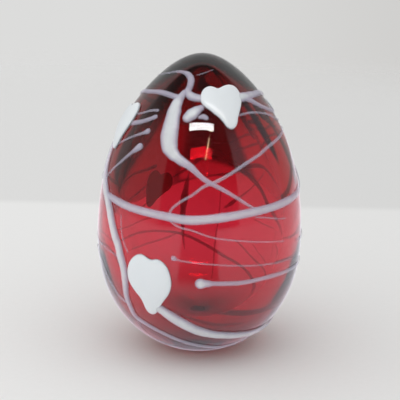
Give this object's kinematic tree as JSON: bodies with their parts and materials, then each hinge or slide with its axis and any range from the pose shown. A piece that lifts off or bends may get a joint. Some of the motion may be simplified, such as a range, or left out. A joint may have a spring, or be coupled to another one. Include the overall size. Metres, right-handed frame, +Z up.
{
  "type": "hollow glass egg",
  "caption": "Hollow blown-glass egg that stands on a flat base: clear casing over a ruby inner bubble, with white opal hearts and winding trails fused to the outside.",
  "frame": {"origin": "centre of the flat base, on the surface the egg stands on", "axes": "+Z up through the tip; -Y towards the side that the picture shows, with the upper heart a little to the +X side"},
  "size_m": [0.0839, 0.0839, 0.12],
  "materials": {
    "clear_crystal": "fire-polished, clear and colourless",
    "ruby_glass": "smooth, transparent deep ruby red",
    "opal_glass": "fire-polished, dense milky white with a bluish cast"
  },
  "bodies": {
    "root": {"clear_casing": "clear_crystal", "ruby_bubble": "ruby_glass", "base_seal": "clear_crystal", "heart_upper": "opal_glass", "heart_lower": "opal_glass", "heart_left": "opal_glass", "heart_back": "opal_glass", "heart_right": "opal_glass", "leaf_trail": "opal_glass", "left_trail": "opal_glass", "belt_trail": "opal_glass", "bottom_trail": "opal_glass", "back_sweep": "opal_glass", "cross_trail": "opal_glass", "crown_hook": "opal_glass", "shoulder_trail": "opal_glass", "small_drop": "opal_glass", "tiny_drop": "opal_glass", "arm_wide": "opal_glass", "arm_fork": "opal_glass", "arm_thin": "opal_glass", "crown_thread": "opal_glass", "dash_top": "opal_glass", "dash_upper": "opal_glass", "dash_middle": "opal_glass", "dash_lower": "opal_glass", "left_back_trail": "opal_glass", "belt_tail": "opal_glass", "low_thread": "opal_glass", "left_thread": "opal_glass", "side_thread": "opal_glass", "ball_thread": "opal_glass", "ball_trail": "opal_glass", "spindle_trail": "opal_glass", "fork_trail": "opal_glass", "fork_thread": "opal_glass", "upright_thread": "opal_glass", "drop_trail": "opal_glass", "back_thread": "opal_glass", "short_thread": "opal_glass", "branch_thread": "opal_glass", "heart_tail": "opal_glass", "point_tail": "opal_glass"}
  },
  "joints": []
}
